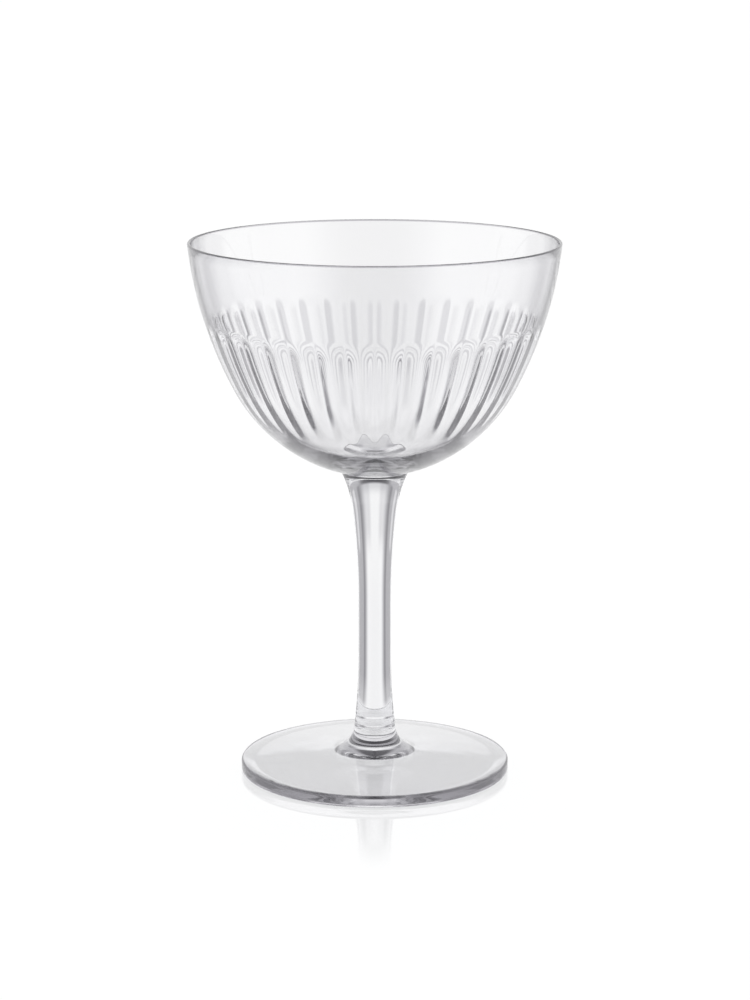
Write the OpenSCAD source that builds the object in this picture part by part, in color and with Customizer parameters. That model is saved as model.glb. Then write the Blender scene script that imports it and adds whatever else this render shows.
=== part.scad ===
// Footed glass for ice cream and cocktails: a thin bowl fluted on the inside,
// a waisted solid stem and a round foot, three glass pieces fused end to end.
// Millimetres, +Z up, origin on the table under the middle of the foot.

/* [Bowl] */
// Height at which the lip starts to round over; the glass is half a lip higher
lip_z = 141.54; // [140:0.02:143]
// Radius of the long arc down the side, inside and outside
side_r = 103.7; // [102:1.7:105.4]
// Radius at the height where the side turns in to the base, on the outside
turn_r = 36.9; // [36.7:0.1:37.1]
// That height
turn_z = 103.4; // [103.2:0.1:103.6]
// Radius of the outside of the base
base_r = 44.2; // [42.5:1.7:45.9]
// Radius where the side turns in to the base, on the inside
inner_turn_r = 36.3; // [35.1:0.3:36.3]
// Height of that, a little more than outside so that the wall thickens downwards
inner_turn_z = 105.6; // [105.4:0.1:106]
// Diameter of the flat seat where the stem is fused on
seat_d = 18; // [17:0.5:19]

/* [Flutes] */
// Number of flutes round the inside of the wall
flute_count = 36; // [24:2:36]
// Height at which the flutes run out at the top
flute_top_z = 122; // [121:0.5:123]
// Height at which the flutes run out at the bottom
flute_tip_z = 95; // [94.5:0.5:96]
// Radius of a flute along its length, tighter than the wall's so that it is deepest half way
flute_bend_r = 49; // [48:0.5:52]
// Radius across the round bed of a flute
flute_r = 4.2; // [3.6:0.1:4.4]

/* [Stem] */
// Diameter of the straight waist, the thinnest stretch
waist_d = 8.75; // [8:0.05:9.5]
// Height of the lower end of the waist
waist_low_z = 30; // [28:0.5:32]
// Height of the upper end of the waist
waist_high_z = 46; // [44:0.5:48]
// Radius of the slow sweep down to the foot
lower_sweep_r = 150; // [140:5:170]
// Radius of the slow sweep up to the flare
upper_sweep_r = 220; // [200:5:240]
// Height at which the flare to the bowl begins
flare_z = 70; // [68:0.5:71]

/* [Foot] */
// Diameter of the foot
foot_d = 71.5; // [69:0.5:76]
// Thickness of the upright edge
edge_t = 3; // [2.6:0.1:3.4]
// Radius that takes the sharpness off the edge's two corners
corner_r = 0.6; // [0.4:0.1:0.9]
// Height of the joint ring where the hub meets the stem
hub_z = 12.3; // [12.2:0.1:13]
// Height at which the hub starts to spread
spread_z = 12; // [11.6:0.1:12.1]
// Radius of the hollow curve from the hub to the foot
spread_r = 6.8; // [6:0.1:7.2]
// Diameter of the shallow cone hollowed out underneath
hollow_d = 64; // [56:1:65]
// Diameter of that hollow's flat middle
hollow_flat_d = 10; // [6:1:14]
// Depth of the hollow
hollow_h = 2.5; // [2:0.1:3]

/* [Hidden] */
$fn = 256;
glass_colour = [0.86, 0.89, 0.90, 0.45];

// Side and base meet smoothly where the wall leans 15 up to 8 across, about 62 degrees.
// That direction and the steps of the radii above keep every centre a short decimal,
// so that the two arcs share the very same point.
lean = [15, -8] / 17;

// Outside of the bowl: side arc and base arc
side_c = [turn_r, turn_z] - side_r * lean;
base_c = [turn_r, turn_z] - base_r * lean;
rim_r = arc_radius(side_c, side_r, lip_z);

// Inside of the bowl: side arc, then a ball-shaped base centred on the axis
inner_side_c = [inner_turn_r, inner_turn_z] - side_r * lean;
inner_base_r = inner_turn_r / lean.x;
inner_base_c = [inner_turn_r, inner_turn_z] - inner_base_r * lean;
inner_rim_r = arc_radius(inner_side_c, side_r, lip_z);

// Rounded lip
lip_r = (rim_r - inner_rim_r) / 2;
glass_h = lip_z + lip_r;

// Flat seat under the bowl
seat_r = seat_d / 2;
seat_z = hundredth(base_c.y - sqrt(base_r ^ 2 - (seat_r - base_c.x) ^ 2));

// A flute is the bed of a bent round bar that meets the wall at the flute's two ends
flute_top = [arc_radius(inner_side_c, side_r, flute_top_z), flute_top_z];
flute_tip = [arc_radius(inner_base_c, inner_base_r, flute_tip_z), flute_tip_z];
flute_run = flute_top - flute_tip;
flute_lean = atan2(flute_run.y, flute_run.x);
flute_half = asin(norm(flute_run) / 2 / flute_bend_r);
flute_c = (flute_top + flute_tip) / 2 - flute_bend_r * cos(flute_half) * outward(flute_lean);
// The bar runs past both ends of the flute by this angle
flute_spare = 3;

// Stem: straight waist, a sweep each way, and a flare that ends on the seat
waist_r = waist_d / 2;
flare_start = [sweep_radius(flare_z - waist_high_z, upper_sweep_r), flare_z];
flare_lean = asin((flare_z - waist_high_z) / upper_sweep_r);
flare_run = [seat_r, seat_z] - flare_start;
flare_r = flare_run * flare_run / (2 * (flare_run.x * cos(flare_lean) - flare_run.y * sin(flare_lean)));
flare_c = flare_start + flare_r * [cos(flare_lean), -sin(flare_lean)];

// Foot: the top falls in a straight line from the hub's curve to the edge
foot_r = foot_d / 2;
edge_x = foot_r - corner_r;
hub_r = sweep_radius(waist_low_z - hub_z, lower_sweep_r);
spread_c = [hub_r + spread_r, spread_z];
fall = spread_c - [edge_x, edge_t];
top_fall = atan2(fall.y, -fall.x) - asin(spread_r / norm(fall));
spread_end = spread_c - spread_r * [sin(top_fall), cos(top_fall)];
// Distance out for each millimetre down the side of the hollow
hollow_spread = (hollow_d - hollow_flat_d) / 2 / hollow_h;

// The seat's height is rounded, so that bowl and stem share it exactly
function hundredth(z) = round(z * 100) / 100;

// Distance from the axis, at height z, of an arc of radius r about c
function arc_radius(c, r, z) = c.x + sqrt(r ^ 2 - (c.y - z) ^ 2);

// Direction out of the bowl at a place where its wall has this slope
function outward(slope) = [sin(slope), -cos(slope)];

// Radius of the stem at a distance along one of its sweeps
function sweep_radius(along, sweep_r) = waist_r + sweep_r - sqrt(sweep_r ^ 2 - along ^ 2);

// Rectangle from the axis out, in the half plane that is turned about the axis
module block(r, z_low, z_high) {
    translate([0, z_low]) square([r, z_high - z_low]);
}

// Everything within the side arc and the base arc, which meet at height meet_z
module within_arcs(upper_c, lower_c, lower_r, meet_z) {
    intersection() {
        translate(upper_c) circle(side_r);
        block(side_r, meet_z, lip_z);
    }
    intersection() {
        translate(lower_c) circle(lower_r);
        block(side_r, 0, meet_z);
    }
}

// What a hollow curve of radius r about c leaves of a block
module swept_block(z_low, z_high, c, r) {
    difference() {
        block(seat_d, z_low, z_high);
        translate(c) circle(r);
    }
}

// Wall of the bowl, cut through
module bowl_section() {
    difference() {
        within_arcs(side_c, base_c, base_r, turn_z);
        within_arcs(inner_side_c, inner_base_c, inner_base_r, inner_turn_z);
        block(side_r, 0, seat_z);
    }
    intersection() {
        translate([rim_r - lip_r, lip_z]) circle(lip_r);
        block(side_r, lip_z, lip_z + side_r);
    }
}

// Bent bar whose bed is one flute, on the +X side
module flute_bar() {
    translate([flute_c.x, 0, flute_c.y]) rotate([90, 0, 0])
        rotate(flute_lean - flute_half - flute_spare - 90)
            rotate_extrude(angle = 2 * (flute_half + flute_spare))
                translate([flute_bend_r - flute_r, 0]) circle(flute_r);
}

// Bowl with its first n flutes, cut one after another; a rib, not a flute, faces the front
module fluted(n) {
    if (n == 0) {
        rotate_extrude() bowl_section();
    } else difference() {
        fluted(n - 1);
        rotate((n - 0.5) * 360 / flute_count - 90) flute_bar();
    }
}

module bowl() {
    color(glass_colour) fluted(flute_count);
}

module stem() {
    color(glass_colour) rotate_extrude() {
        swept_block(hub_z, waist_low_z, [waist_r + lower_sweep_r, waist_low_z], lower_sweep_r);
        block(waist_r, waist_low_z, waist_high_z);
        swept_block(waist_high_z, flare_z, [waist_r + upper_sweep_r, waist_high_z], upper_sweep_r);
        swept_block(flare_z, seat_z, flare_c, flare_r);
    }
}

// Quarter disc about [edge_x, z], in the square that starts at height z_low
module corner(z, z_low) {
    intersection() {
        translate([edge_x, z]) circle(corner_r);
        translate([edge_x, z_low]) square(corner_r);
    }
}

module foot() {
    color(glass_colour) rotate_extrude() difference() {
        union() {
            block(hub_r, spread_z, hub_z);
            difference() {
                block(spread_end.x, 0, spread_z);
                translate(spread_c) circle(spread_r);
            }
            polygon([[spread_end.x, 0], [edge_x, 0], [edge_x, edge_t], spread_end]);
            corner(edge_t - corner_r, edge_t - corner_r);
            translate([edge_x, corner_r]) square([corner_r, edge_t - 2 * corner_r]);
            corner(corner_r, 0);
        }
        // The hollow, with its side carried on to 1 mm below the foot
        polygon([[0, -1], [hollow_d / 2 + hollow_spread, -1], [hollow_flat_d / 2, hollow_h], [0, hollow_h]]);
    }
}

bowl();
stem();
foot();
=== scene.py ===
# %% [markdown]
# # A footed glass for ice cream
# The glass is three pieces fused while hot: a thin bowl with soft flutes pressed into the
# inside of its wall, a solid stem with a slim waist, and a round foot. Clear glass has no
# colour of its own to show, so its look comes from exact curves, from smooth normals and
# from what stands around it. The lesson therefore starts with the camera and the room,
# then turns each piece as a surface worked out with numpy, and ends with the finish.

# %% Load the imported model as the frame
import math

import bpy
import numpy as np
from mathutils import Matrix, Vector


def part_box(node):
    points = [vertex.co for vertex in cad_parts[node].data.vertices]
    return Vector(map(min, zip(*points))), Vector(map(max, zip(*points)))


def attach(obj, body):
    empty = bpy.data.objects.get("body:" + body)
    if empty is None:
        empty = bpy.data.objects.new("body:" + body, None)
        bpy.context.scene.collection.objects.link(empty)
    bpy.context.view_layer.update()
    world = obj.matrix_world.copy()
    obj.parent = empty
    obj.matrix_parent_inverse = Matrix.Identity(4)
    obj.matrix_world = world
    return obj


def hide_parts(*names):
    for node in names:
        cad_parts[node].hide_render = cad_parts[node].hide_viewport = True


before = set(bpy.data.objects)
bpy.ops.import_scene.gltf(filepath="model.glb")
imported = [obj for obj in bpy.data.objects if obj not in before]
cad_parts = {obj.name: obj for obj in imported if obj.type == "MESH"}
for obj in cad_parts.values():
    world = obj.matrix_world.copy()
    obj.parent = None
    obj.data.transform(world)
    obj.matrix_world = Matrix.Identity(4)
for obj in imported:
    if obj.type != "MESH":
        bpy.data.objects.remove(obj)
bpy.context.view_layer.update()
scene = bpy.context.scene
MM = 0.001
for node in ("bowl", "stem", "foot"):
    low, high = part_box(node)
    print(node, "from", [round(v / MM, 2) for v in low], "to", [round(v / MM, 2) for v in high])

# %% [markdown]
# ## Camera
# The picture is taken from a little above the rim with a long lens, so that the rim and
# the foot show as slim ellipses. The distance, the height and the lens were found by
# laying a model of the two ellipses over the picture. A long lens from far away keeps
# the stem's sides almost parallel, which a wide lens close by would not. Light crosses
# many surfaces of a glass before it leaves, so its paths are allowed to be long.

# %% Camera
CAMERA_PLACE = (0.0000658, -0.7503, 0.23665)
CAMERA_DOWN = math.radians(12.276)
LENS_MM, SENSOR_MM = 104.78, 36
# The most that one path of light may cross a surface, be mirrored, and pass a clear weld
CROSSINGS, MIRRORINGS, WELDS = 64, 48, 48

camera = bpy.data.objects.new("camera", bpy.data.cameras.new("camera"))
scene.collection.objects.link(camera)
camera.location = CAMERA_PLACE
camera.rotation_euler = (math.pi / 2 - CAMERA_DOWN, 0, 0)
camera.data.lens = LENS_MM
camera.data.sensor_width = SENSOR_MM
scene.camera = camera
scene.view_settings.view_transform = "Standard"
scene.cycles.max_bounces = CROSSINGS
scene.cycles.transmission_bounces = CROSSINGS
scene.cycles.glossy_bounces = MIRRORINGS
scene.cycles.transparent_max_bounces = WELDS
print("camera", CAMERA_PLACE, "lens", LENS_MM)

# %% [markdown]
# ## Helpers for nodes
# Materials, the floor and the world are all small networks of nodes. Five helpers keep
# them readable: one adds a node and fills its inputs, one is for plain sums, one fades
# from one value to another, and two blend numbers or colours. An input is filled with a
# number, a colour, or the output of another node.

# %% Node helpers


def add_node(tree, kind, inputs=(), **settings):
    """Add a node, set its options, then fill its inputs: a socket is linked, a value is set."""
    node = tree.nodes.new(kind)
    for name, value in settings.items():
        setattr(node, name, value)
    for place, value in dict(inputs).items():
        if isinstance(value, bpy.types.NodeSocket):
            tree.links.new(value, node.inputs[place])
        else:
            node.inputs[place].default_value = value
    return node


def calc(tree, operation, *values):
    """One Math node: operation applied to one or two values, each a number or a socket."""
    return add_node(tree, "ShaderNodeMath", enumerate(values), operation=operation).outputs[0]


def fade(tree, value, low, high, at_low, at_high):
    """at_low where value is under low, at_high where it is over high, an S curve between."""
    inputs = {0: value, 1: low, 2: high, 3: at_low, 4: at_high}
    node = add_node(tree, "ShaderNodeMapRange", inputs, interpolation_type="SMOOTHSTEP")
    return node.outputs[0]


def blend(tree, share, first, second):
    """first where share is 0, second where it is 1."""
    return add_node(tree, "ShaderNodeMix", {0: share, 2: first, 3: second}).outputs[0]


def blend_colour(tree, share, first, second):
    """The same for two colours."""
    node = add_node(tree, "ShaderNodeMix", {0: share, 6: first, 7: second}, data_type="RGBA")
    return node.outputs[2]


# %% [markdown]
# ## Room
# Glass is photographed against a bright field: white behind it, and grey to the left and
# right of that white. Rays that go straight through stay white, and rays that a curved
# edge bends aside meet the grey, which draws the outline. Between the two lies a narrow
# dark gap, which shows as a fine line along each side of the stem. Far back the white dims
# a little towards its sides, and that draws the flutes of the far wall. The white ends not
# far above the level of the table, with a dark room over it for the dark lines in thick
# glass. Two tall soft boxes at the sides light the very edge of the bowl. The same white
# stands in front, so that the glass is drawn in much the same way from front and back.
#
# Such a room could be built from panels and lamps, but each panel would then be mirrored
# in the glass and would light it too. Here a tone is worked out from a ray's bearing, and
# the Light Path node says how the ray came. The camera sees plain white everywhere. A
# mirrored ray sees white with a dark front, where the camera stands. A ray that the glass
# turned back inside itself comes out weaker, and sees that dark front as well. Rays through
# both walls of the bowl see pale corners, so that the bowl stays clear from a corner too.

# %% Tones of the room
# Bearings, from the line between front and back, at which one tone gives way to the next
ASIDE_FROM, ASIDE_FULL = (math.radians(a) for a in (5, 11))
WHITE_HALF, GAP_AT, GREY_FROM = (math.radians(a) for a in (14, 28, 33))
CORNER_FROM, CORNER_FULL, CORNER_END = (math.radians(a) for a in (36, 42, 56))
BOX_FROM, BOX_FULL = (math.radians(a) for a in (60, 70))
# The middle of a corner, and how far to each side the narrow pale corner is full and ends
CORNER_AT = math.pi / 4
NARROW_FULL, NARROW_END = (math.radians(a) for a in (4, 6))
# Bearings from the front alone
FRONT_DARK, FRONT_OVER = (math.radians(a) for a in (13, 52))
SIDE_FROM, SIDE_FULL = (math.radians(a) for a in (80, 90))
# Heights, as the sine of the angle above level
DIM_FROM, DIM_TO, DARK_FROM = (math.sin(math.radians(a)) for a in (5, 14, 17))
CEILING_FROM, CEILING_FULL = (math.sin(math.radians(a)) for a in (24, 45))
BOX_TOP, BOX_END = (math.sin(math.radians(a)) for a in (40, 65))
# Tones: 0 is black and 1 is white
GAP, GREY, BOX = 0.28, 0.47, 1.2
DIM, DARK, ASIDE = 0.66, 0.12, 0.72
CORNER, NARROW = 0.92, 0.74
FRONT, CEILING = 0.1, 0.5
# How far back the narrow corner starts and is full
CORNER_NEAR, CORNER_FAR = 0.2, 0.9
# Share of light left after many turns inside the glass
KEPT, FEW_TURNS, MANY_TURNS = 0.38, 1.0, 5.0
# Surfaces that a ray crosses in the two walls of the bowl
WALL_SURFACES = 4
# Dark tones are a little cool
COOL = (0.94, 0.92, 1.0, 1)
WHITE = (1, 1, 1, 1)


def bearings(tree, vector):
    """A vector's angle from the line between front and back, atan2(|x|, |y|), its angle from
    the front alone, atan2(|x|, -y), and its height z."""
    x, y, z = add_node(tree, "ShaderNodeSeparateXYZ", {0: vector}).outputs
    across = calc(tree, "ABSOLUTE", x)
    from_line = calc(tree, "ARCTAN2", across, calc(tree, "ABSOLUTE", y))
    from_front = calc(tree, "ARCTAN2", across, calc(tree, "MULTIPLY", y, -1.0))
    return from_line, from_front, z


def both_walls(tree, path):
    """1 for rays that have gone through both walls of the bowl, else 0."""
    return calc(tree, "GREATER_THAN", path["Transmission Depth"], WALL_SURFACES - 0.5)


def tone_through(tree, from_line, up, far, walls):
    """What rays see that have been through glass. Low down: a white panel that dims towards
    its top and, where far is 1, towards its sides, then a gap and a grey with a pale corner
    in it, wide where walls is 1 and else narrow and far away. High up: dark over the panel,
    the grey beside it. A soft box at each side is added to both."""
    panel = fade(tree, from_line, WHITE_HALF, GAP_AT, 1.0 - GAP, 0.0)
    panel = calc(tree, "MULTIPLY", panel, fade(tree, up, DIM_FROM, DIM_TO, 1.0, DIM))
    aside = fade(tree, from_line, ASIDE_FROM, ASIDE_FULL, 1.0, ASIDE)
    panel = calc(tree, "MULTIPLY", panel, blend(tree, far, 1.0, aside))
    wide = fade(tree, from_line, CORNER_FROM, CORNER_FULL, 0.0, CORNER - GREY)
    wide = calc(tree, "MULTIPLY", wide, fade(tree, from_line, CORNER_END, BOX_FULL, 1.0, 0.0))
    off_corner = calc(tree, "ABSOLUTE", calc(tree, "SUBTRACT", from_line, CORNER_AT))
    narrow = fade(tree, off_corner, NARROW_FULL, NARROW_END, NARROW - GREY, 0.0)
    narrow = calc(tree, "MULTIPLY", narrow, fade(tree, far, CORNER_NEAR, CORNER_FAR, 0.0, 1.0))
    panel = calc(tree, "ADD", panel, blend(tree, walls, narrow, wide))
    low = calc(tree, "ADD", panel, fade(tree, from_line, GAP_AT, GREY_FROM, GAP, GREY))
    high = fade(tree, from_line, WHITE_HALF, GAP_AT, DARK, GREY)
    grounds = blend(tree, fade(tree, up, DIM_TO, DARK_FROM, 0.0, 1.0), low, high)
    box = fade(tree, from_line, BOX_FROM, BOX_FULL, 0.0, BOX - GREY)
    box = calc(tree, "MULTIPLY", box, fade(tree, up, BOX_TOP, BOX_END, 1.0, 0.0))
    return calc(tree, "ADD", grounds, box)


def tone_mirrored(tree, from_front, up):
    """What mirrored rays see: dark in front, white at the sides and behind, grey overhead."""
    around = fade(tree, from_front, FRONT_DARK, FRONT_OVER, FRONT, 1.0)
    overhead = fade(tree, up, CEILING_FROM, CEILING_FULL, 1.0, CEILING)
    return calc(tree, "MULTIPLY", around, overhead)


def turned_to_front(tree, path, from_front):
    """1 for rays that the glass has turned back at least once and sent to the front, else 0."""
    turned = calc(tree, "GREATER_THAN", path["Glossy Depth"], 0.5)
    return calc(tree, "MULTIPLY", turned, fade(tree, from_front, SIDE_FROM, SIDE_FULL, 1.0, 0.0))


def kept_inside(tree, path):
    """Share of its light that a ray keeps: light that the glass turns back inside itself
    again and again runs through more of it, and comes out weaker."""
    return fade(tree, path["Glossy Depth"], FEW_TURNS, MANY_TURNS, 1.0, KEPT)


# %% [markdown]
# ### Floor
# The floor is a white sheet with a slight gloss close to the glass, where it mirrors the
# foot and the first of the stem. Seen through the glass it carries painted shade near the
# foot, a darker glow where less light would fall, more so in front than behind, and further
# out it carries the room's tones. It could be lit by lamps alone, but the white would then
# turn grey with distance, so most of it glows evenly. A little of it is a plain diffuse
# surface under the lamp, and that share takes the real shadow.

# %% Floor
# Half the side of the sheet, and how far it lies under the foot, in metres like the rest
FLOOR_HALF, FLOOR_DROP = 9.0, 0.00005
# Painted shade: the tone under the front of the foot and behind it, and where the one passes into the
# other
NEAR_SHADE_TONE, BEHIND_SHADE_TONE = 0.87, 0.97
BEHIND_FROM, BEHIND_FULL = -0.035, 0.03
# Distances from the axis: the painted shade near the foot, the room's tones, its far tones, the gloss
NEAR, FAR = 0.08, 0.40
GREY_NEAR, GREY_FULL = 0.036, 0.05
FAR_FROM, FAR_FULL = 0.3, 0.55
GLOSS_NEAR, GLOSS_FAR = 0.045, 0.085
GLOSS, SHINE_ROUGHNESS = 0.26, 0.03
SHADOW_SHARE = 0.2
SHEET_WHITE = (0.8, 0.8, 0.8, 1)


def make_floor():
    """A square sheet just under the foot: white to the camera, in the room's tones to the glass."""
    h = FLOOR_HALF
    mesh = bpy.data.meshes.new("floor")
    mesh.from_pydata([(-h, -h, 0), (h, -h, 0), (h, h, 0), (-h, h, 0)], [], [(0, 1, 2, 3)])
    floor = bpy.data.objects.new("floor", mesh)
    scene.collection.objects.link(floor)
    floor.location.z = -FLOOR_DROP
    material = bpy.data.materials.new("floor sheet")
    material.use_nodes = True
    tree = material.node_tree
    tree.nodes.clear()
    place = add_node(tree, "ShaderNodeTexCoord").outputs["Object"]
    from_line, from_front, up = bearings(tree, place)
    reach = add_node(tree, "ShaderNodeVectorMath", {0: place}, operation="LENGTH").outputs["Value"]
    behind = add_node(tree, "ShaderNodeSeparateXYZ", {0: place}).outputs[1]
    # Painted shade: seen through the glass, the floor glows darker near the foot, more in front than
    # behind
    near_shade = fade(tree, behind, BEHIND_FROM, BEHIND_FULL, NEAR_SHADE_TONE, BEHIND_SHADE_TONE)
    near_shade = fade(tree, reach, NEAR, FAR, near_shade, 1.0)
    away = fade(tree, reach, GREY_NEAR, GREY_FULL, 0.0, 1.0)
    far = fade(tree, reach, FAR_FROM, FAR_FULL, 0.0, 1.0)
    path = add_node(tree, "ShaderNodeLightPath").outputs
    room = tone_through(tree, from_line, up, far, both_walls(tree, path))
    through = calc(tree, "MULTIPLY", near_shade, blend(tree, away, 1.0, room))
    front_room = tone_mirrored(tree, from_front, up)
    mirrored = blend(tree, away, NEAR_SHADE_TONE, front_room)
    dark_front = fade(tree, from_front, FRONT_DARK, FRONT_OVER, FRONT, NEAR_SHADE_TONE)
    turned = turned_to_front(tree, path, from_front)
    through = blend(tree, turned, through, blend(tree, away, dark_front, front_room))
    level = blend(tree, path["Is Reflection Ray"], 1.0, mirrored)
    level = blend(tree, path["Is Transmission Ray"], level, through)
    level = calc(tree, "MULTIPLY", level, kept_inside(tree, path))
    level = blend(tree, path["Is Camera Ray"], level, 1.0)
    colour = blend_colour(tree, level, COOL, WHITE)
    glow = add_node(tree, "ShaderNodeEmission", {"Color": colour, "Strength": level})
    sheet = add_node(tree, "ShaderNodeBsdfDiffuse", {"Color": SHEET_WHITE})
    share = blend(tree, path["Is Transmission Ray"], SHADOW_SHARE, 0.0)
    lit = add_node(tree, "ShaderNodeMixShader", {0: share, 1: glow.outputs[0], 2: sheet.outputs[0]})
    shine = add_node(tree, "ShaderNodeBsdfGlossy", {"Color": WHITE, "Roughness": SHINE_ROUGHNESS})
    gloss = fade(tree, reach, GLOSS_NEAR, GLOSS_FAR, GLOSS, 0.0)
    both = add_node(tree, "ShaderNodeMixShader", {0: gloss, 1: lit.outputs[0], 2: shine.outputs[0]})
    add_node(tree, "ShaderNodeOutputMaterial", {0: both.outputs[0]})
    mesh.materials.append(material)
    return floor


make_floor()
print("floor", 2 * FLOOR_HALF, "m square")

# %% [markdown]
# ### World and lamp
# Above the floor's edge the world goes on in the same tones. The dark front takes a little
# brightness off the front of the bowl, which gives it body, and the flanks of the flutes
# turn away from it to the white sides, which draws their ribs. One wide, soft lamp overhead
# is there for the floor's shadow, and the glass does not show it. A sun lamp is used because
# its light is the same all over the floor.

# %% World and lamp
LAMP_LEAN, LAMP_WIDTH = math.radians(-12), math.radians(40)
LAMP_ENERGY = 2.6


def make_world():
    """White to the camera, the room's tones to rays that have met glass."""
    world = bpy.data.worlds.new("studio")
    scene.world = world
    world.use_nodes = True
    tree = world.node_tree
    tree.nodes.clear()
    direction = add_node(tree, "ShaderNodeTexCoord").outputs["Generated"]
    from_line, from_front, up = bearings(tree, direction)
    path = add_node(tree, "ShaderNodeLightPath").outputs
    mirrored = tone_mirrored(tree, from_front, up)
    through = tone_through(tree, from_line, up, 1.0, both_walls(tree, path))
    through = blend(tree, turned_to_front(tree, path, from_front), through, mirrored)
    level = blend(tree, path["Is Transmission Ray"], mirrored, through)
    level = calc(tree, "MULTIPLY", level, kept_inside(tree, path))
    level = blend(tree, path["Is Camera Ray"], level, 1.0)
    colour = blend_colour(tree, level, COOL, WHITE)
    back = add_node(tree, "ShaderNodeBackground", {"Color": colour, "Strength": level})
    add_node(tree, "ShaderNodeOutputWorld", {0: back.outputs[0]})
    return world


make_world()
lamp = bpy.data.objects.new("lamp", bpy.data.lights.new("lamp", "SUN"))
scene.collection.objects.link(lamp)
lamp.rotation_euler = (LAMP_LEAN, 0, 0)
lamp.data.angle = LAMP_WIDTH
lamp.data.energy = LAMP_ENERGY
lamp.visible_glossy = False
lamp.visible_transmission = False
print("lamp", LAMP_ENERGY, "W per square metre")

# %% [markdown]
# ## Turned surfaces
# Every piece of the glass is round, so each one is a profile, a row of points (r, z),
# carried round the axis. The point at row i and angle a lies at
# (r sin a, -r cos a, z), and a = 0 faces the front. The whole grid is one numpy array.
# The last ring at each end is closed with a fan of triangles to a point on the axis.
# An end that is fused to another piece gets a second material slot, used for the weld.

# %% Turning a profile


def even_angles(columns):
    """Angles once round the axis, evenly spaced from the front."""
    return np.linspace(0, 2 * np.pi, columns, endpoint=False)


def turn(profile, angle, lift=(0, 0)):
    """Grid of points (rows, columns, 3): the profile carried round the axis.
    lift is a pair (dr, dz) of arrays (rows, columns) added to each point."""
    r = np.repeat(profile[:, :1], len(angle), axis=1) + lift[0]
    z = np.repeat(profile[:, 1:], len(angle), axis=1) + lift[1]
    return np.stack([r * np.sin(angle), -r * np.cos(angle), z], axis=-1)


def turned_piece(name, grid, first_z, last_z, welded):
    """Mesh of a grid in mm, its two ends closed on the axis at first_z and last_z.
    welded names the ends, first or last, that are fused to another piece."""
    rows, columns = grid.shape[:2]
    ends = np.array([[0, 0, first_z], [0, 0, last_z]])
    points = np.concatenate([grid.reshape(-1, 3), ends]) * MM
    row = np.arange(rows - 1)[:, None] * columns
    left = np.arange(columns)[None, :]
    right = (left + 1) % columns
    quads = np.stack([row + left, row + right, row + columns + right, row + columns + left], axis=-1)
    first_fan = np.stack([np.full(columns, rows * columns), right[0], left[0]], axis=-1)
    top = (rows - 1) * columns
    last_fan = np.stack([np.full(columns, rows * columns + 1), top + left[0], top + right[0]], axis=-1)
    mesh = bpy.data.meshes.new(name)
    faces = quads.reshape(-1, 4).tolist() + first_fan.tolist() + last_fan.tolist()
    mesh.from_pydata(points.tolist(), [], faces)
    weld = np.zeros(len(faces), dtype=np.int32)
    weld[len(faces) - 2 * columns : len(faces) - columns] = "first" in welded
    weld[len(faces) - columns :] = "last" in welded
    mesh.polygons.foreach_set("material_index", weld)
    mesh.polygons.foreach_set("use_smooth", weld == 0)
    piece = bpy.data.objects.new(name, mesh)
    scene.collection.objects.link(piece)
    print(name, rows, "rows of", columns, "points,", 2 * rows * columns, "triangles")
    return piece


def arc(centre, radius, slopes):
    """Points centre + radius (sin s, -cos s) for each slope s: on the wall of a bowl, s is
    the wall's slope from level, and the same pair points out of the bowl."""
    return np.stack([centre[0] + radius * np.sin(slopes), centre[1] - radius * np.cos(slopes)], axis=1)


# %% [markdown]
# ## Bowl
# On the outside one long arc runs down from the lip and meets the base's tighter arc
# without a corner. The inside does the same a little higher up, so that the wall is
# thin at the lip and about twice as thick at the turn, as in a pressed glass. The wall's
# direction where the arcs meet is 15 up to 8 across. A drawn curve and a Screw modifier
# could turn this too, but on a grid of numbers the flutes can simply be added.

# %% Bowl's profile
SEAT_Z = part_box("stem")[1].z / MM
LIP_Z = 141.54
SIDE_R = 103.7
BASE_R = 44.2
TURN = np.array([36.9, 103.4])
INNER_TURN = np.array([36.3, 105.6])
LEAN = np.array([15, -8]) / 17
LEAN_SLOPE = math.atan2(15, 8)
INNER_BASE_R = INNER_TURN[0] / LEAN[0]
# Points on each stretch of the profile, and the slope at which the inside stops by the axis
BASE_POINTS, SIDE_POINTS, LIP_POINTS = 24, 18, 11
INNER_SIDE_POINTS, INNER_BASE_POINTS = 36, 42
LAST_SLOPE = 0.004

side_centre = TURN - SIDE_R * LEAN
base_centre = TURN - BASE_R * LEAN
inner_side_centre = INNER_TURN - SIDE_R * LEAN
inner_base_centre = INNER_TURN - INNER_BASE_R * LEAN


def slope_at(centre, radius, z):
    """Slope of an arc at height z, from cos s = (centre height - z) / radius."""
    return math.acos((centre[1] - z) / radius)


seat_slope = slope_at(base_centre, BASE_R, SEAT_Z)
rim_slope = slope_at(side_centre, SIDE_R, LIP_Z)
inner_rim_slope = slope_at(inner_side_centre, SIDE_R, LIP_Z)
base_slopes = np.linspace(seat_slope, LEAN_SLOPE, BASE_POINTS)[:-1]
side_slopes = np.linspace(LEAN_SLOPE, rim_slope, SIDE_POINTS)
inner_side_slopes = np.linspace(inner_rim_slope, LEAN_SLOPE, INNER_SIDE_POINTS)[:-1]
inner_base_slopes = np.linspace(LEAN_SLOPE, LAST_SLOPE, INNER_BASE_POINTS)
outside = np.concatenate(
    [
        arc(base_centre, BASE_R, base_slopes),
        arc(side_centre, SIDE_R, side_slopes),
    ]
)
inside = np.concatenate(
    [
        arc(inner_side_centre, SIDE_R, inner_side_slopes),
        arc(inner_base_centre, INNER_BASE_R, inner_base_slopes),
    ]
)
lip_middle = (outside[-1] + inside[0]) / 2
lip_r = (outside[-1, 0] - inside[0, 0]) / 2
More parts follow.
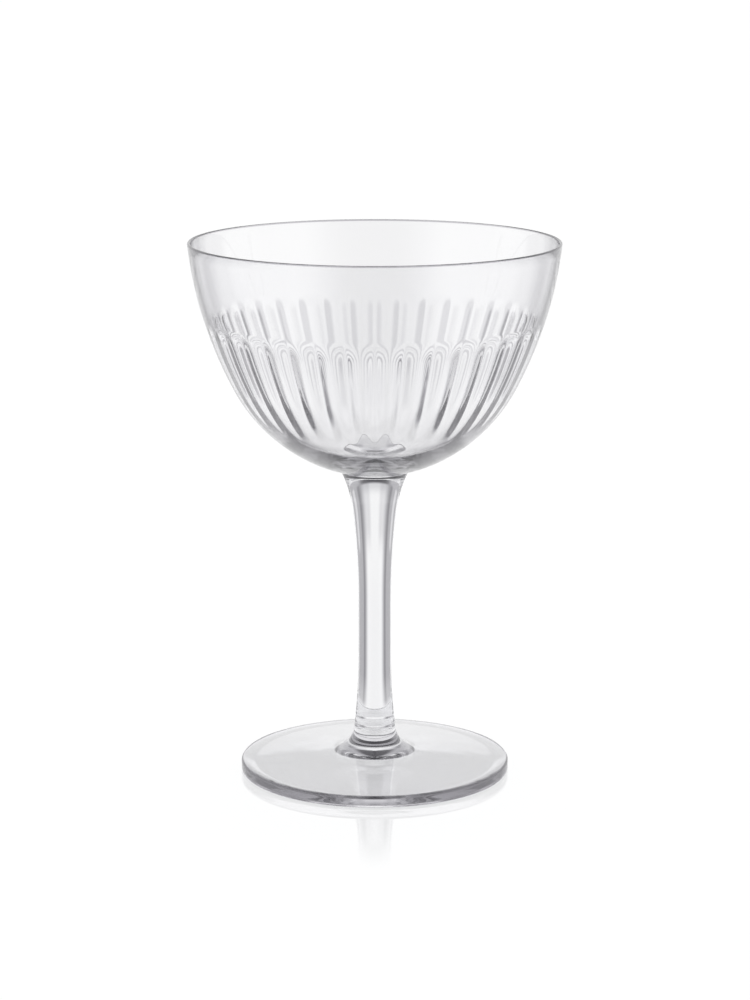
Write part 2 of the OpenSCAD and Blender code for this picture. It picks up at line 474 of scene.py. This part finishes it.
lip_turn = np.linspace(0, np.pi, LIP_POINTS)[1:-1]
lip = np.stack([lip_middle[0] + lip_r * np.cos(lip_turn), LIP_Z + lip_r * np.sin(lip_turn)], axis=1)
print("lip", round(2 * lip_r, 3), "mm thick, floor of the bowl at", round(inside[-1, 1], 2), "mm")

# %% [markdown]
# ### Flutes
# The flutes are shallow hollows in the inside of the wall, side by side, with a soft rib
# between them. They start quickly at the top and run out slowly at the bottom. Across a
# flute the bed is a parabola: with q the distance from the nearest rib, 0 there and 1 in
# the middle of the flute, the depth is deepest x (2 q - q^2). The rib is rounded by taking
# (sqrt(q^2 + w^2) - w) / (sqrt(1 + w^2) - w) for q, which leaves 0 and 1 as they are. A
# rib, not a hollow, faces the front. Down the wall the depth follows the space that a
# flute has, and an S curve at each end takes it to nothing. The depth is laid off along
# the wall's own normal. Cutting the flutes out with a tool shape would leave sharp ribs
# and rough normals, and glass shows both at once. The columns crowd together at the ribs,
# where the surface turns quickly.

# %% Bowl
FLUTES = 36
FLUTE_DEPTH, RIB_ROUND = 0.8, 0.25
# Heights at which the flutes end, and the way along the wall that each end takes
FLUTE_TOP_Z, FLUTE_TIP_Z = 121.7, 94.3
TOP_RUN, TIP_RUN = 3.5, 15.0
# Columns of points for each flute, and how much they crowd at the ribs
FLUTE_COLUMNS, CROWDING = 20, 0.6


def s_curve(x):
    """0 under 0, 1 over 1, and 3 x^2 - 2 x^3 between."""
    x = np.clip(x, 0, 1)
    return x * x * (3 - 2 * x)


def flute_angles():
    """Angles round the bowl, closest together at the ribs: t - crowding sin(2 pi t) / (2 pi)."""
    t = np.arange(FLUTES * FLUTE_COLUMNS) / FLUTE_COLUMNS
    return (t - CROWDING * np.sin(2 * np.pi * t) / (2 * np.pi)) * 2 * np.pi / FLUTES


def flute_depth(profile, angle):
    """Depth (rows, columns) of the flutes, by distance down the wall and by angle."""
    steps = np.hypot(*np.diff(profile, axis=0).T)
    along = np.concatenate([[0], np.cumsum(steps)])
    top = np.interp(-FLUTE_TOP_Z, -profile[:, 1], along)
    tip = np.interp(-FLUTE_TIP_Z, -profile[:, 1], along)
    room = profile[:, 0] / np.interp(top, along, profile[:, 0])
    ends = s_curve((along - top) / TOP_RUN) * s_curve((tip - along) / TIP_RUN)
    turns = angle * FLUTES / (2 * np.pi)
    q = 2 * np.abs(turns - np.round(turns))
    q = (np.sqrt(q**2 + RIB_ROUND**2) - RIB_ROUND) / (math.sqrt(1 + RIB_ROUND**2) - RIB_ROUND)
    return FLUTE_DEPTH * (room * ends)[:, None] * (2 * q - q**2)[None, :]


def make_bowl():
    """Outside from the seat up, over the lip, then the fluted inside down to the axis."""
    angle = flute_angles()
    slope = np.concatenate([inner_side_slopes, inner_base_slopes])[:, None]
    depth = flute_depth(inside, angle)
    lift = (depth * np.sin(slope), -depth * np.cos(slope))
    grid = np.concatenate([turn(outside, angle), turn(lip, angle), turn(inside, angle, lift)])
    return turned_piece("bowl_glass", grid, SEAT_Z, inside[-1, 1], ("first",))


bowl = make_bowl()

# %% [markdown]
# ## Stem
# A stem drawn from hot glass keeps a straight waist where it was pulled thinnest and
# widens in two slow sweeps, with a quick flare just under the bowl. A spline through a few
# points would come close, but its bends would swell and show as bulges in the glass. So
# each stretch is an arc that goes on in the direction of the one before, and light runs
# along it without a break.

# %% Stem
HUB_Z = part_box("foot")[1].z / MM
WAIST_R = 8.75 / 2
WAIST_LOW, WAIST_HIGH = 30.0, 46.0
LOWER_SWEEP, UPPER_SWEEP = 150.0, 220.0
FLARE_Z = 70.0
SEAT_R = 9.0
LOW_POINTS, HIGH_POINTS, FLARE_POINTS = 24, 30, 60
STEM_COLUMNS = 192


def sweep(along, radius):
    """Distance from the axis after going along an upright arc: waist + R - sqrt(R^2 - along^2)."""
    return WAIST_R + radius - np.sqrt(radius**2 - along**2)


def stem_profile():
    """Lower sweep, waist, upper sweep, then the arc that reaches the edge of the seat."""
    low = np.linspace(HUB_Z, WAIST_LOW, LOW_POINTS)
    high = np.linspace(WAIST_HIGH, FLARE_Z, HIGH_POINTS)
    lean = math.asin((FLARE_Z - WAIST_HIGH) / UPPER_SWEEP)
    start = np.array([sweep(FLARE_Z - WAIST_HIGH, UPPER_SWEEP), FLARE_Z])
    run = np.array([SEAT_R, SEAT_Z]) - start
    radius = run @ run / (2 * (run[0] * math.cos(lean) - run[1] * math.sin(lean)))
    centre = start + radius * np.array([math.cos(lean), -math.sin(lean)])
    flare_z = np.linspace(FLARE_Z, SEAT_Z, FLARE_POINTS)[1:]
    flare_r = centre[0] - np.sqrt(radius**2 - (flare_z - centre[1]) ** 2)
    return np.concatenate(
        [
            np.stack([sweep(WAIST_LOW - low, LOWER_SWEEP), low], axis=1),
            np.stack([sweep(high - WAIST_HIGH, UPPER_SWEEP), high], axis=1),
            np.stack([flare_r, flare_z], axis=1),
        ]
    )


stem_points = stem_profile()
stem_grid = turn(stem_points, even_angles(STEM_COLUMNS))
stem = turned_piece("stem_glass", stem_grid, HUB_Z, SEAT_Z, ("first", "last"))

# %% [markdown]
# ## Foot
# The foot is pressed or spun flat while soft. It has an upright edge with small round
# corners, and it rises gently to a small hub that takes the stem. Its top falls in a
# straight line from the hub's hollow curve to the edge. The underside is hollowed a
# little, so that the glass stands on a ring. The hollow could be part of a ball, but
# then its slope at the ring would mirror the room, and the table would not show through
# the foot. A shallow cone with a flat middle has one small slope all over.

# %% Foot
FOOT_R = 71.5 / 2
EDGE_T, EDGE_R = 3.0, 0.6
SPREAD_Z, SPREAD_R = 12.0, 6.8
HOLLOW_R, FLAT_R, HOLLOW_H = 32.0, 5.0, 2.5
FLAT_ROUND = 2.0
# Radius of the first ring under the foot, and the points on each stretch of the profile
FIRST_R = 0.1
HOLLOW_POINTS, ROUND_POINTS, EDGE_POINTS = 60, 10, 6
TOP_POINTS, HUB_POINTS, COLLAR_POINTS = 30, 30, 3
FOOT_COLUMNS = 288


def foot_profile():
    """Underside from the axis out, round the edge, up the top to the hub's joint. The hollow
    falls from a flat middle by a ramp (x + sqrt(x^2 + w^2)) / 2, with x the distance past it."""
    edge_x = FOOT_R - EDGE_R
    r = np.linspace(FIRST_R, HOLLOW_R, HOLLOW_POINTS)
    ramp = (r - FLAT_R + np.hypot(r - FLAT_R, FLAT_ROUND)) / 2
    under = np.stack([r, HOLLOW_H * np.maximum(1 - ramp / (HOLLOW_R - FLAT_R), 0)], axis=1)
    ring = np.array([[(HOLLOW_R + edge_x) / 2, 0.0]])
    hub_r = stem_points[0, 0]
    hub_centre = np.array([hub_r + SPREAD_R, SPREAD_Z])
    upper = np.array([edge_x, EDGE_T - EDGE_R])
    reach = upper - hub_centre
    fall = math.atan2(-reach[1], reach[0]) - math.asin((SPREAD_R + EDGE_R) / np.hypot(*reach))
    lower = np.array([edge_x, EDGE_R])
    low_turn = np.linspace(-np.pi / 2, 0, ROUND_POINTS)
    low_edge = lower + EDGE_R * np.stack([np.cos(low_turn), np.sin(low_turn)], axis=1)
    high_turn = np.linspace(0, np.pi / 2 - fall, ROUND_POINTS)
    high_edge = upper + EDGE_R * np.stack([np.cos(high_turn), np.sin(high_turn)], axis=1)
    side = np.linspace(low_edge[-1], high_edge[0], EDGE_POINTS)[1:-1]
    hub_turn = np.linspace(fall, np.pi / 2, HUB_POINTS)
    hub = hub_centre - SPREAD_R * np.stack([np.sin(hub_turn), np.cos(hub_turn)], axis=1)
    top = np.linspace(high_edge[-1], hub[0], TOP_POINTS)[1:-1]
    collar = np.linspace(hub[-1], [hub_r, HUB_Z], COLLAR_POINTS)[1:]
    print("top of the foot falls", round(math.degrees(fall), 2), "degrees")
    return np.concatenate([under, ring, low_edge, side, high_edge, top, hub, collar])


foot_grid = turn(foot_profile(), even_angles(FOOT_COLUMNS))
foot = turned_piece("foot_glass", foot_grid, HOLLOW_H, HUB_Z, ("last",))

# %% [markdown]
# ## Glass
# Fire-polished glass is smooth to the touch but never flat: its surface carries waves a
# few hundredths of a millimetre high, which make the background swim. A node group makes
# those waves as a height for a Bump node, together with a faint haze for the roughness
# and a cool tint that changes a little through the piece. Waves in the mesh would need
# far more points for the same softness. The group is built once, and each piece of the
# glass uses it with its own values.

# %% Fire polish, shared by the three pieces
# The quick waves: how many to a slow one, and their height beside it
QUICK_TIMES, QUICK_SHARE = 3.1, 0.15
# The haze lies in clouds of this fineness, where the noise is between these values
CLOUD_FINENESS, SMEAR_FROM, SMEAR_FULL = 60.0, 0.45, 0.75


def make_fire_polish():
    """Node group: waves of two sizes as a height, a haze and a tint, from Object coordinates."""
    group = bpy.data.node_groups.new("Fire polish", "ShaderNodeTree")
    sockets = group.interface
    for name, kind in (
        ("Wave Size", "NodeSocketFloat"),
        ("Stretch", "NodeSocketFloat"),
        ("Haze", "NodeSocketFloat"),
        ("Pale", "NodeSocketColor"),
        ("Deep", "NodeSocketColor"),
    ):
        sockets.new_socket(name, in_out="INPUT", socket_type=kind)
    for name, kind in (
        ("Height", "NodeSocketFloat"),
        ("Roughness", "NodeSocketFloat"),
        ("Tint", "NodeSocketColor"),
    ):
        sockets.new_socket(name, in_out="OUTPUT", socket_type=kind)
    given = group.nodes.new("NodeGroupInput").outputs
    result = group.nodes.new("NodeGroupOutput").inputs
    place = add_node(group, "ShaderNodeTexCoord").outputs["Object"]
    squash = add_node(group, "ShaderNodeCombineXYZ", {0: 1.0, 1: 1.0, 2: given["Stretch"]})
    both = {0: place, 1: squash.outputs[0]}
    pulled = add_node(group, "ShaderNodeVectorMath", both, operation="MULTIPLY").outputs[0]
    fineness = calc(group, "DIVIDE", 1.0, given["Wave Size"])
    slow_waves = {"Vector": pulled, "Scale": fineness, "Detail": 1.0}
    slow = add_node(group, "ShaderNodeTexNoise", slow_waves).outputs["Fac"]
    quick_fineness = calc(group, "MULTIPLY", fineness, QUICK_TIMES)
    quick_waves = {"Vector": pulled, "Scale": quick_fineness, "Detail": 0.0}
    quick = add_node(group, "ShaderNodeTexNoise", quick_waves).outputs["Fac"]
    small = calc(group, "MULTIPLY", quick, QUICK_SHARE)
    group.links.new(calc(group, "ADD", slow, small), result["Height"])
    clouds = {"Vector": place, "Scale": CLOUD_FINENESS, "Detail": 3.0}
    cloud = add_node(group, "ShaderNodeTexNoise", clouds).outputs["Fac"]
    smear = fade(group, cloud, SMEAR_FROM, SMEAR_FULL, 0.0, 1.0)
    group.links.new(calc(group, "MULTIPLY", smear, given["Haze"]), result["Roughness"])
    group.links.new(blend_colour(group, slow, given["Pale"], given["Deep"]), result["Tint"])
    return group


fire_polish = make_fire_polish()
print("fire polish gives", [socket.name for socket in fire_polish.interface.items_tree])

# %% [markdown]
# ### Edges
# The lip and the edge of the foot carry painted shade, a colour a shade darker than the
# wall for the dark lines there, and they are a little less clear. A second node group
# finds such a band, by height for the lip and by reach from the axis for the foot.

# %% Edge band


def make_edge_band():
    """Node group: two masks that rise from 0 at Start to 1 at Full, one by the height z and
    one by the reach sqrt(x^2 + y^2) from the axis."""
    group = bpy.data.node_groups.new("Edge band", "ShaderNodeTree")
    for name in ("Start", "Full"):
        group.interface.new_socket(name, in_out="INPUT", socket_type="NodeSocketFloat")
    for name in ("By Height", "By Reach"):
        group.interface.new_socket(name, in_out="OUTPUT", socket_type="NodeSocketFloat")
    given = group.nodes.new("NodeGroupInput").outputs
    result = group.nodes.new("NodeGroupOutput").inputs
    place = add_node(group, "ShaderNodeTexCoord").outputs["Object"]
    height = add_node(group, "ShaderNodeSeparateXYZ", {0: place}).outputs[2]
    level = {0: place, 1: (1, 1, 0)}
    flat = add_node(group, "ShaderNodeVectorMath", level, operation="MULTIPLY").outputs[0]
    reach = add_node(group, "ShaderNodeVectorMath", {0: flat}, operation="LENGTH").outputs["Value"]
    group.links.new(fade(group, height, given["Start"], given["Full"], 0.0, 1.0), result["By Height"])
    group.links.new(fade(group, reach, given["Start"], given["Full"], 0.0, 1.0), result["By Reach"])
    return group


edge_band = make_edge_band()
print("edge band gives", [socket.name for socket in edge_band.interface.items_tree])

# %% [markdown]
# ### Clear glass
# One function makes the glass of all three pieces: a Principled shader with full
# transmission and the index of common glass. Light from a lamp would be stopped by it,
# because paths through glass hardly ever find a lamp, so the floor under the glass would
# be black. Shadow rays therefore pass straight through, only a little dimmed.

# %% Clear glass
GLASS_IOR = 1.52
SHADOW_TINT = (0.9, 0.92, 0.93, 1)


def make_glass(name, waves, haze, pale, deep, band=None):
    """Clear glass: Principled with full transmission, waves in its normal, lamps let through.
    waves is (size, stretch, height); band is (mask, start, full, painted shade colour, roughness)."""
    material = bpy.data.materials.new(name)
    material.use_nodes = True
    tree = material.node_tree
    tree.nodes.clear()
    polish = add_node(tree, "ShaderNodeGroup", node_tree=fire_polish)
    values = {"Wave Size": waves[0], "Stretch": waves[1], "Haze": haze, "Pale": pale, "Deep": deep}
    for socket, value in values.items():
        polish.inputs[socket].default_value = value
    bump = add_node(tree, "ShaderNodeBump", {"Height": polish.outputs["Height"]})
    bump.inputs["Strength"].default_value = 1.0
    bump.inputs["Distance"].default_value = waves[2]
    tint_and_painted_shade = polish.outputs["Tint"]
    roughness = polish.outputs["Roughness"]
    # Painted shade: at the lip and the foot's edge a darker colour is blended into the tint, and the
    # roughness rises a little
    if band:
        mask_name, start, full, painted_shade_colour, band_roughness = band
        edge = add_node(tree, "ShaderNodeGroup", node_tree=edge_band)
        edge.inputs["Start"].default_value = start
        edge.inputs["Full"].default_value = full
        tint_and_painted_shade = blend_colour(tree, edge.outputs[mask_name], tint_and_painted_shade, painted_shade_colour)
        roughness = blend(tree, edge.outputs[mask_name], roughness, band_roughness)
    glass = add_node(
        tree,
        "ShaderNodeBsdfPrincipled",
        {
            "Base Color": tint_and_painted_shade,
            "Roughness": roughness,
            "Normal": bump.outputs["Normal"],
            "IOR": GLASS_IOR,
            "Transmission Weight": 1.0,
        },
    )
    clear = add_node(tree, "ShaderNodeBsdfTransparent", {"Color": SHADOW_TINT})
    path = add_node(tree, "ShaderNodeLightPath")
    lets_lamps_through = {0: path.outputs["Is Shadow Ray"], 1: glass.outputs[0], 2: clear.outputs[0]}
    shown = add_node(tree, "ShaderNodeMixShader", lets_lamps_through)
    add_node(tree, "ShaderNodeOutputMaterial", {0: shown.outputs[0]})
    return material


# %% [markdown]
# ### Finishes and welds
# The bowl has almost no tint, and the solid stem and the foot are a little cooler. The
# waves are long on the stem, which was drawn out, and even on the foot. Where two pieces
# are fused there is no surface left for light to meet, so the flat faces of the joint get
# a weld that is simply clear. Joining the three meshes would do the same, but then they
# could not stand for three solids.

# %% Finishes and welds
HAZE = 0.02
BOWL_PALE, BOWL_DEEP = (0.975, 0.975, 0.98, 1), (0.95, 0.95, 0.96, 1)
SOLID_PALE, SOLID_DEEP = (0.985, 0.985, 0.99, 1), (0.96, 0.965, 0.98, 1)
BOWL_WAVES = (0.016, 0.6, 0.00002)
STEM_WAVES = (0.010, 0.25, 0.00001)
FOOT_WAVES = (0.012, 1.0, 0.00003)
# Painted shade at the lip: a much darker colour in a thin band at the top, and a little more roughness
LIP_SHADE_BAND = ("By Height", 0.1414, 0.1416, (0.5, 0.49, 0.52, 1), 0.05)
# Painted shade at the foot's edge: a slightly darker colour near the rim, and a little more roughness
FOOT_SHADE_BAND = ("By Reach", 0.0349, 0.0354, (0.93, 0.92, 0.95, 1), 0.06)

bowl_finish = make_glass("bowl glass", BOWL_WAVES, HAZE, BOWL_PALE, BOWL_DEEP, LIP_SHADE_BAND)
stem_finish = make_glass("stem glass", STEM_WAVES, HAZE, SOLID_PALE, SOLID_DEEP)
foot_finish = make_glass("foot glass", FOOT_WAVES, HAZE, SOLID_PALE, SOLID_DEEP, FOOT_SHADE_BAND)

weld = bpy.data.materials.new("weld")
weld.use_nodes = True
weld.node_tree.nodes.clear()
clear_weld = add_node(weld.node_tree, "ShaderNodeBsdfTransparent")
add_node(weld.node_tree, "ShaderNodeOutputMaterial", {0: clear_weld.outputs[0]})

pieces = ((bowl, "bowl", bowl_finish), (stem, "stem", stem_finish), (foot, "foot", foot_finish))
for piece, node, finish in pieces:
    piece.data.materials.append(finish)
    piece.data.materials.append(weld)
    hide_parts(node)
    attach(piece, "root")
    print(piece.name, "stands for", node)
